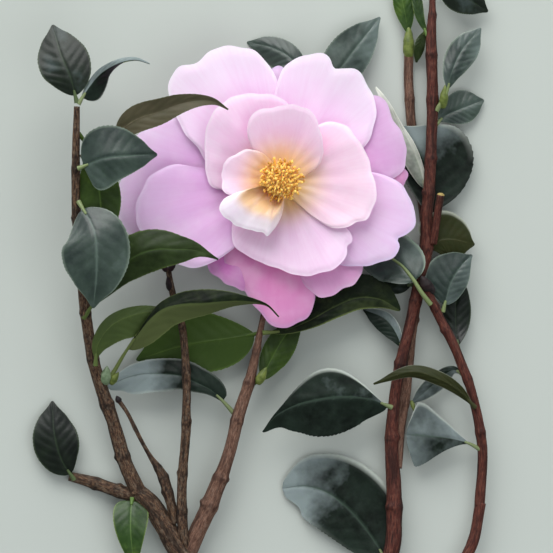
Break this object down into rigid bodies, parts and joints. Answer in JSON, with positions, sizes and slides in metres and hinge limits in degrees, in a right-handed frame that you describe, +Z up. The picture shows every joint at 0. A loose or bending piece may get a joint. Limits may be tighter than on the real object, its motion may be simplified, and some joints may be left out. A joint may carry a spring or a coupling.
{
  "type": "camellia branch in bloom",
  "caption": "Cut branch of a garden camellia with a forked stem, glossy leaves and a large open semi-double pink bloom.",
  "frame": {"origin": "middle of the box's underside, on the floor that the branch lies on", "axes": "+Y along the branch from its cut foot to its tips, +Z up out of the bloom's face, +X to the right as seen from above"},
  "size_m": [0.1836, 0.3317, 0.0508],
  "materials": {
    "bark": "matt red-brown bark with fine cracks and leaf scars",
    "leaf": "glossy dark green leaf, duller and lighter underneath",
    "petal": "soft pale pink petal, cream at its foot",
    "stamen": "golden anthers on pale yellow threads",
    "sepal": "dull green bud scales"
  },
  "bodies": {
    "root": {"main_stem": "bark", "left_fork": "bark", "left_limb": "bark", "low_branch": "bark", "dead_twig": "bark", "middle_stem": "bark", "bloom_limb": "bark", "hidden_twig": "bark", "right_stem": "bark", "rear_stem": "bark", "side_branch_foot": "bark", "side_branch": "bark", "cut_stub": "bark", "leaf_far_left": "leaf", "leaf_over_petals": "leaf", "leaf_front_upper": "leaf", "leaf_left_behind": "leaf", "leaf_front_lower": "leaf", "leaf_below_bloom": "leaf", "leaf_long": "leaf", "leaf_arching": "leaf", "leaf_broad": "leaf", "leaf_dark_low": "leaf", "leaf_small_green": "leaf", "leaf_under_bud": "leaf", "leaf_top_left": "leaf", "leaf_top_right": "leaf", "leaf_under_bloom": "leaf", "leaf_tip_left": "leaf", "leaf_low_left": "leaf", "leaf_over_stem": "leaf", "leaf_pale_low": "leaf", "leaf_behind_right": "leaf", "leaf_at_bud": "leaf", "leaf_green_stalk": "leaf", "leaf_behind_stem": "leaf", "leaf_at_stub": "leaf", "leaf_blue": "leaf", "leaf_top_corner": "leaf", "leaf_dark_sliver": "leaf", "leaf_dark_right": "leaf", "leaf_edge_on": "leaf", "leaf_behind_low": "leaf", "leaf_pale_strip": "leaf", "leaf_young_left": "leaf", "leaf_young_right": "leaf", "leaf_young_hanging": "leaf", "leaf_limb_tip": "leaf", "leaf_stem_tip": "leaf", "leaf_low_branch": "leaf", "calyx": "sepal", "outer_petals": "petal", "middle_petals": "petal", "inner_petals": "petal", "stamens": "stamen"}
  },
  "joints": []
}
